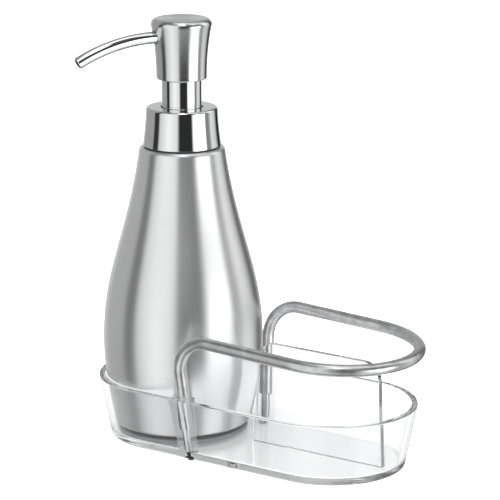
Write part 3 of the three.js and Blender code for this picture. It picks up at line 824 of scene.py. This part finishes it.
def make_screws():
    bearing = -SCREW_SEAT - FIT_GAP
    crown = bearing - SCREW_HEAD_HEIGHT
    outline = [
        (0, crown),
        (SCREW_CROWN_RADIUS, crown, SCREW_ROUNDING),
        (SCREW_HEAD_RADIUS, crown + SCREW_CROWN_HEIGHT, SCREW_ROUNDING),
        (SCREW_HEAD_RADIUS, bearing),
        (SCREW_RADIUS, bearing),
        (SCREW_RADIUS, SCREW_REACH, SCREW_ROUNDING),
        (0, SCREW_REACH),
    ]
    bars = [(SCREW_SLOT_WIDTH, SCREW_SLOT_LENGTH), (SCREW_SLOT_LENGTH, SCREW_SLOT_WIDTH)]
    levels = (crown - SCREW_SLOT_DEPTH, crown + SCREW_SLOT_DEPTH)
    for name, side in {"front": -1, "back": 1}.items():
        screw = leg_body("screw_" + name, outline, side)
        for width, length in bars:
            x, y = width / 2, length / 2
            square = [(-x, -y), (x, -y), (x, y), (-x, y)]
            recess = skin("recess", [[Vector((a, b, z)) for a, b in square] for z in levels])
            recess.data.transform(leg_frame(side))
            combine(screw, recess, "DIFFERENCE")
        finish_piece(screw, "caddy", "leg_screw_" + name, dark_steel)


# The bottle


def make_bottle():
    height = BOTTLE_HIGH.z - BOTTLE_LOW.z
    belly = half_width("bottle_shell")
    lower = bezier(
        [
            (BOTTLE_BASE_RADIUS, 0),
            (BOTTLE_BASE_RADIUS + BASE_LEAN * BASE_PULL, BASE_PULL),
            (belly, BOTTLE_BELLY_HEIGHT - BELLY_PULL_DOWN),
            (belly, BOTTLE_BELLY_HEIGHT),
        ],
        BOTTLE_LOWER_STEPS,
    )
    upper = bezier(
        [
            (belly, BOTTLE_BELLY_HEIGHT),
            (belly, BOTTLE_BELLY_HEIGHT + BELLY_PULL_UP),
            (BOTTLE_SHOULDER_RADIUS + SHOULDER_LEAN * SHOULDER_PULL, height - SHOULDER_PULL),
            (BOTTLE_SHOULDER_RADIUS, height),
        ],
        BOTTLE_UPPER_STEPS,
    )
    side = lower + upper[1:]
    low_cut = 2 * BOTTLE_HEEL_ROUNDING
    high_cut = height - 2 * BOTTLE_SHOULDER_ROUNDING
    outside = [(r, z) for r, z in side if low_cut < z < high_cut]
    inside = [(r - BOTTLE_WALL, min(max(z, BOTTLE_WALL), height - BOTTLE_WALL)) for r, z in side]
    outline = [
        (0, 0),
        (BOTTLE_BASE_RADIUS, 0, BOTTLE_HEEL_ROUNDING),
        *outside,
        (BOTTLE_SHOULDER_RADIUS, height, BOTTLE_SHOULDER_ROUNDING),
        (BOTTLE_NECK_HOLE, height),
        (BOTTLE_NECK_HOLE, height - BOTTLE_WALL),
        *inside[:0:-1],
        (BOTTLE_BASE_RADIUS - BOTTLE_HEEL_ROUNDING, BOTTLE_WALL),
        (0, BOTTLE_WALL),
    ]
    shell = turned("steel_bottle", outline, AXIS + Vector((0, 0, BOTTLE_LOW.z)))
    finish_piece(shell, "bottle", "bottle_shell", bottle_steel)


def make_disc():
    low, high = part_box("base_disc")
    radius = half_width("base_disc")
    foot = low.z + CONTACT_GAP
    outline = [(0, foot), (radius, foot, DISC_ROUNDING), (radius, high.z, DISC_ROUNDING), (0, high.z)]
    finish_piece(turned("rubber_disc", outline), "bottle", "base_disc", grey_rubber)


def make_pad():
    low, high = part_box("base_pad")
    radius = half_width("base_pad")
    outline = [(0, low.z), (radius, low.z, PAD_ROUNDING), (radius, high.z), (0, high.z)]
    finish_piece(turned("rubber_pad", outline), "bottle", "base_pad", black_rubber)


# The pump


def make_collar():
    low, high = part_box("collar_cover")
    foot_radius = half_width("collar_cover")
    half_way = (low.z + high.z) / 2
    side = bezier(
        [(foot_radius, low.z), (COLLAR_WAIST_RADIUS, half_way), (COLLAR_TOP_RADIUS, high.z)],
        COLLAR_STEPS,
    )
    low_cut = low.z + COLLAR_FOOT_STRAIGHT
    high_cut = high.z - 2 * COLLAR_TOP_ROUNDING
    outside = [(r, z) for r, z in side if low_cut < z < high_cut]
    outline = [
        (COLLAR_INSIDE, low.z),
        (foot_radius, low.z, COLLAR_FOOT_ROUNDING),
        *outside,
        (COLLAR_TOP_RADIUS, high.z, COLLAR_TOP_ROUNDING),
        (SLEEVE_HOLE, high.z, EDGE_ROUNDING),
        (SLEEVE_HOLE, high.z - COLLAR_TOP),
        (COLLAR_INSIDE, high.z - COLLAR_TOP),
    ]
    finish_piece(turned("chrome_collar", outline), "collar", "collar_cover", chrome)


def make_collar_gasket():
    low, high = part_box("collar_gasket")
    radius = half_width("collar_gasket")
    outline = [
        (BOTTLE_NECK_HOLE, low.z),
        (radius, low.z, EDGE_ROUNDING),
        (radius, high.z, EDGE_ROUNDING),
        (BOTTLE_NECK_HOLE, high.z),
    ]
    finish_piece(turned("collar_ring", outline), "collar", "collar_gasket", black_rubber)


def make_sleeve():
    low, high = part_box("stem_sleeve")
    radius = half_width("stem_sleeve")
    inside = radius - SLEEVE_WALL
    outline = [(inside, low.z), (radius, low.z, EDGE_ROUNDING), (radius, high.z), (inside, high.z)]
    finish_piece(turned("chrome_sleeve", outline), "plunger", "stem_sleeve", chrome)


def make_neck():
    low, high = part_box("neck_insert")
    flange_radius = half_width("neck_insert")
    radius = flange_radius - NECK_FLANGE_WIDTH
    flange_top = low.z + NECK_FLANGE
    outline = [
        (radius - NECK_WALL, low.z),
        (flange_radius, low.z),
        (flange_radius, flange_top),
        (radius, flange_top),
        (radius, high.z, EDGE_ROUNDING),
        (radius - NECK_WALL, high.z),
    ]
    finish_piece(turned("white_neck", outline), "bottle", "neck_insert", white_plastic)


def make_spring():
    """The coil inside the pump, as long as its part. On the real pump it shortens by the stroke as the head
    is pressed.
    """
    low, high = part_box("return_spring")
    foot, top = low.z + SPRING_WIRE_RADIUS, high.z - SPRING_WIRE_RADIUS
    steps = SPRING_TURN_STEPS * SPRING_TURNS
    route = []
    for i in range(steps + 1):
        share = i / steps
        angle = 2 * math.pi * SPRING_TURNS * share
        x, y = SPRING_RADIUS * math.cos(angle), SPRING_RADIUS * math.sin(angle)
        place = Vector((x, y, foot + share * (top - foot)))
        route.append((AXIS + place, SPRING_WIRE_RADIUS))
    spring = skin("coil_spring", swept_rings(route, SPRING_WIRE_STEPS))
    finish_piece(spring, "pump", "return_spring", spring_steel)
    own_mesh(spring)


def head_side(inset, foot, height):
    """The head's side and top, set in from its outer surface, from its foot up to the axis."""
    edge_height = height - HEAD_TOP_ROUNDING
    side = bezier(
        [(HEAD_FOOT_RADIUS, 0), (HEAD_FOOT_RADIUS, HEAD_WAIST), (HEAD_EDGE_RADIUS, edge_height)],
        HEAD_STEPS,
    )
    centre = Vector((HEAD_EDGE_RADIUS - HEAD_TOP_ROUNDING, edge_height))
    reach = HEAD_TOP_ROUNDING - inset
    edge = arc_between(centre, Vector((reach, 0)), Vector((0, reach)), 2 * ROUND_STEPS)
    points = [Vector((r - inset, z)) for r, z in side] + edge[1:]
    return [(r, z) for r, z in points if z > foot] + [(0, height - inset)]


def make_head():
    low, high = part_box("head_cap")
    height = high.z - low.z
    inside_radius = HEAD_FOOT_RADIUS - HEAD_WALL
    outline = [
        (inside_radius, 0),
        (HEAD_FOOT_RADIUS, 0, HEAD_FOOT_ROUNDING),
        *head_side(0, 2 * HEAD_FOOT_ROUNDING, height),
        *head_side(HEAD_WALL, 0, height)[::-1],
    ]
    head = turned("steel_head", outline, AXIS + Vector((0, 0, low.z)))
    hole = [(point, SPOUT_RADIUS + FIT_GAP) for point in spout_line()[:2]]
    hole.append((2 * hole[1][0] - hole[0][0], hole[1][1]))
    combine(head, skin("hole", swept_rings(hole, LEG_STEPS)), "DIFFERENCE")
    finish_piece(head, "head", "head_cap", head_steel)


def spout_line():
    """Centre line of the spout, straight out of the head and then bending down."""
    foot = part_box("head_cap")[0].z
    heading = Matrix.Rotation(SPOUT_HEADING, 3, "Z")
    points = [Vector((SPOUT_ROOT, 0, SPOUT_HEIGHT)), Vector((SPOUT_START, 0, SPOUT_HEIGHT))]
    for i in range(1, SPOUT_BEND_STEPS + 1):
        angle = SPOUT_BEND_ANGLE * i / SPOUT_BEND_STEPS
        x = SPOUT_START + SPOUT_BEND * math.sin(angle)
        points.append(Vector((x, 0, SPOUT_HEIGHT - SPOUT_BEND * (1 - math.cos(angle)))))
    return [AXIS + Vector((0, 0, foot)) + heading @ point for point in points]


def make_spout():
    line = spout_line()
    tip, before = line[-1], line[-2]
    lip = tip - (tip - before).normalized() * SPOUT_LIP
    outer = [(point, SPOUT_RADIUS) for point in line[:-1]]
    outer += [(lip, SPOUT_RADIUS), (tip, SPOUT_RADIUS - SPOUT_LIP)]
    inner = [(point, SPOUT_BORE) for point in line]
    outside = swept_rings(outer, SPOUT_TUBE_STEPS)
    inside = swept_rings(inner, SPOUT_TUBE_STEPS)
    spout = skin("chrome_spout", outside + inside[::-1], loop=True)
    finish_piece(spout, "head", "spout_tube", chrome)


make_tray()
make_bosses()
make_frosted_hole()
make_panel()
make_feet()
make_rail()
make_screws()
make_bottle()
make_pad()
make_disc()
make_neck()
make_spring()
make_collar()
make_collar_gasket()
make_sleeve()
make_head()
make_spout()


# The stage: camera, floor and studio light

CAMERA_PLACE = Vector((681.26, -992.61, 405.18)) * MM
CAMERA_TARGET = Vector((-16.18, 18.02, 91.73)) * MM
CAMERA_VIEW = math.radians(10.7)


def make_camera():
    data = bpy.data.cameras.new("camera")
    data.sensor_fit = "HORIZONTAL"
    data.angle = CAMERA_VIEW
    camera = bpy.data.objects.new("camera", data)
    camera.location = CAMERA_PLACE
    camera.rotation_euler = (CAMERA_TARGET - CAMERA_PLACE).to_track_quat("-Z", "Y").to_euler()
    bpy.context.scene.collection.objects.link(camera)
    bpy.context.scene.camera = camera


FLOOR_SIZE = 4.0
# Tone and glow of the floor, seen straight and through clear plastic, where the bottle's shadow shows
FLOOR_LEVEL = 1.5
FLOOR_LEVEL_THROUGH_CLEAR = 1.05
FLOOR_GLOW = 0.3
FLOOR_GLOW_THROUGH_CLEAR = 0.05
CLEAR_FACES = 2  # that a ray crosses on its way through one clear piece


def make_floor():
    mesh = bmesh.new()
    bmesh.ops.create_grid(mesh, x_segments=1, y_segments=1, size=FLOOR_SIZE)
    floor = new_piece("floor", mesh)
    floor.location.z = cad_low.z
    floor.visible_glossy = False
    nodes = Nodes("pale_floor")
    nodes.set(Roughness=0.9, Specular_IOR_Level=0.0)
    nodes.set(Emission_Color=(1, 1, 1, 1))
    rays = nodes.add("ShaderNodeLightPath")
    levels = {
        "Base Color": (FLOOR_LEVEL, FLOOR_LEVEL_THROUGH_CLEAR),
        "Emission Strength": (FLOOR_GLOW, FLOOR_GLOW_THROUGH_CLEAR),
    }
    for socket, (direct, through) in levels.items():
        level = nodes.add("ShaderNodeMapRange")
        nodes.link(rays.outputs["Is Transmission Ray"], level.inputs["Value"])
        level.inputs["To Min"].default_value = direct
        level.inputs["To Max"].default_value = through
        nodes.link(level.outputs["Result"], nodes.shader.inputs[socket])
    # What is reflected behind clear plastic shows the studio in place of the floor
    through_clear = nodes.add("ShaderNodeMath", operation="GREATER_THAN")
    through_clear.inputs[1].default_value = CLEAR_FACES
    nodes.link(rays.outputs["Transmission Depth"], through_clear.inputs[0])
    reflected = nodes.add("ShaderNodeMath", operation="MULTIPLY", use_clamp=True)
    nodes.link(rays.outputs["Glossy Depth"], reflected.inputs[0])
    nodes.link(through_clear.outputs["Value"], reflected.inputs[1])
    unseen = nodes.add("ShaderNodeMixShader")
    nodes.link(reflected.outputs["Value"], unseen.inputs["Fac"])
    nodes.link(nodes.shader.outputs["BSDF"], unseen.inputs[1])
    nodes.link(nodes.add("ShaderNodeBsdfTransparent").outputs["BSDF"], unseen.inputs[2])
    nodes.link(unseen.outputs["Shader"], nodes.tree.nodes["Material Output"].inputs["Surface"])
    floor.data.materials.append(nodes.material)


# Brightness of the studio in reflections, by degrees to the right of the camera's direction: low down,
# near the ground, above that, and above that again up to the overhead light
LOW_BAND = [
    (-180, 0.6),
    (-150, 0.6),
    (-142, 0.3),
    (-96, 0.2),
    (-91, 0.1),
    (-76, 0.1),
    (-70, 0.75),
    (-40, 1.15),
    (-14, 0.85),
    (-4, 0.4),
    (35, 0.32),
    (47, 1.3),
    (74, 1.3),
    (81, 0.25),
    (93, 0.3),
    (103, 0.8),
    (122, 0.6),
    (136, 0.1),
    (150, 0.1),
    (160, 0.6),
    (180, 0.6),
]
GROUND_BAND = [
    (-180, 0.65),
    (-150, 0.65),
    (-142, 0.4),
    (-96, 0.4),
    (-91, 0.04),
    (-76, 0.04),
    (-70, 0.75),
    (-40, 1.15),
    (-14, 0.9),
    (-6, 0.03),
    (31, 0.03),
    (43, 2.6),
    (74, 2.6),
    (81, 0.25),
    (93, 0.3),
    (103, 0.9),
    (122, 0.7),
    (136, 0.02),
    (150, 0.02),
    (160, 0.65),
    (180, 0.65),
]
WALL_BAND = [
    (-180, 0.42),
    (-96, 0.4),
    (-91, 0.04),
    (-76, 0.04),
    (-70, 1.0),
    (-14, 1.1),
    (-6, 0.05),
    (78, 0.05),
    (92, 0.4),
    (100, 1.4),
    (118, 1.2),
    (136, 0.1),
    (150, 0.1),
    (160, 0.42),
    (180, 0.42),
]
LOFT_BAND = [
    (-180, 0.4),
    (-150, 0.3),
    (-120, 0.12),
    (-18, 0.12),
    (-10, 2.6),
    (20, 2.6),
    (29, 0.12),
    (50, 0.15),
    (60, 1.3),
    (100, 1.3),
    (118, 0.5),
    (140, 0.4),
    (180, 0.4),
]
OVERHEAD_LEVEL = 1.4
UNDER_LEVEL = 0.06
WHITE_LEVEL = 1.05
# Shares of plain white in what is reflected inside one clear piece, and behind one
INSIDE_CLEAR_SHARE, BEHIND_CLEAR_SHARE = 0.3, 0.06
# Elevations in degrees over which one of these fades into the next
UNDER_TO_LOW = (-75, -52)
LOW_TO_GROUND = (-28, -18)
GROUND_TO_WALL = (9, 17)
WALL_TO_LOFT = (44, 52)
LOFT_TO_OVERHEAD = (68, 80)


def make_world():
    world = bpy.data.worlds.new("studio")
    bpy.context.scene.world = world
    world.use_nodes = True
    world.cycles.sampling_method = "NONE"
    tree = world.node_tree
    tree.nodes.clear()

    def add(kind, **settings):
        node = tree.nodes.new(kind)
        for key, value in settings.items():
            setattr(node, key, value)
        return node

    def put(value, socket):
        if isinstance(value, bpy.types.NodeSocket):
            tree.links.new(value, socket)
        else:
            socket.default_value = value

    def calculate(operation, *values):
        node = add("ShaderNodeMath", operation=operation)
        for value, socket in zip(values, node.inputs):
            put(value, socket)
        return node.outputs["Value"]

    def mix(factor, first, second):
        node = add("ShaderNodeMix", data_type="RGBA")
        sockets = {socket.identifier: socket for socket in node.inputs}
        for key, value in (("Factor_Float", factor), ("A_Color", first), ("B_Color", second)):
            put(value, sockets[key])
        return next(socket for socket in node.outputs if socket.identifier == "Result_Color")

    def plain(level):
        return (level, level, level, 1)

    direction = add("ShaderNodeSeparateXYZ")
    put(add("ShaderNodeTexCoord").outputs["Generated"], direction.inputs["Vector"])
    to_camera = CAMERA_PLACE - CAMERA_TARGET
    camera_turn = math.atan2(to_camera.y, to_camera.x)
    turn = calculate("ARCTAN2", direction.outputs["Y"], direction.outputs["X"])
    turns_right = calculate("DIVIDE", calculate("SUBTRACT", turn, camera_turn - math.pi), 2 * math.pi)
    place_round = calculate("FRACT", calculate("ADD", turns_right, 1.0))
    elevation = calculate("ARCSINE", direction.outputs["Z"])

    def band(levels):
        node = add("ShaderNodeValToRGB")
        stops = node.color_ramp.elements
        stops.remove(stops[1])
        for i, (degrees, level) in enumerate(levels):
            place = (degrees + 180) / 360
            stop = stops[0] if i == 0 else stops.new(place)
            stop.position = place
            stop.color = plain(level)
        put(place_round, node.inputs["Fac"])
        return node.outputs["Color"]

    def rise(low, high):
        node = add("ShaderNodeMapRange", interpolation_type="SMOOTHSTEP")
        put(elevation, node.inputs["Value"])
        put(math.radians(low), node.inputs["From Min"])
        put(math.radians(high), node.inputs["From Max"])
        return node.outputs["Result"]

    studio = mix(rise(*UNDER_TO_LOW), plain(UNDER_LEVEL), band(LOW_BAND))
    studio = mix(rise(*LOW_TO_GROUND), studio, band(GROUND_BAND))
    studio = mix(rise(*GROUND_TO_WALL), studio, band(WALL_BAND))
    studio = mix(rise(*WALL_TO_LOFT), studio, band(LOFT_BAND))
    studio = mix(rise(*LOFT_TO_OVERHEAD), studio, plain(OVERHEAD_LEVEL))

    rays = add("ShaderNodeLightPath")
    reflected = calculate("MINIMUM", rays.outputs["Glossy Depth"], 1.0)
    reflected = calculate("SUBTRACT", reflected, rays.outputs["Is Diffuse Ray"])
    inside_clear = calculate("COMPARE", rays.outputs["Transmission Depth"], CLEAR_FACES, 0.5)
    behind_clear = calculate("GREATER_THAN", rays.outputs["Transmission Depth"], CLEAR_FACES + 0.5)
    inside_share = calculate("MULTIPLY", inside_clear, INSIDE_CLEAR_SHARE)
    share = calculate("ADD", inside_share, calculate("MULTIPLY", behind_clear, BEHIND_CLEAR_SHARE))
    studio = mix(share, studio, plain(WHITE_LEVEL))
    background = add("ShaderNodeBackground")
    put(mix(reflected, plain(WHITE_LEVEL), studio), background.inputs["Color"])
    put(background.outputs["Background"], add("ShaderNodeOutputWorld").inputs["Surface"])


LIGHT_PLACE = Vector((0.25, -0.4, 1.1))
LIGHT_WIDTH, LIGHT_DEPTH = 0.7, 0.5
LIGHT_ENERGY = 3.0


def make_light():
    data = bpy.data.lights.new("overhead", "AREA")
    data.shape = "RECTANGLE"
    data.size = LIGHT_WIDTH
    data.size_y = LIGHT_DEPTH
    data.energy = LIGHT_ENERGY
    light = bpy.data.objects.new("overhead", data)
    light.location = LIGHT_PLACE
    light.rotation_euler = (CAMERA_TARGET - LIGHT_PLACE).to_track_quat("-Z", "Y").to_euler()
    light.visible_glossy = False
    bpy.context.scene.collection.objects.link(light)


make_camera()
make_floor()
make_world()
make_light()

BOUNCES = 40  # enough for light that runs along inside the clear tray
scene = bpy.context.scene
scene.view_settings.view_transform = "Standard"
scene.cycles.max_bounces = BOUNCES
scene.cycles.transmission_bounces = BOUNCES
scene.cycles.glossy_bounces = BOUNCES
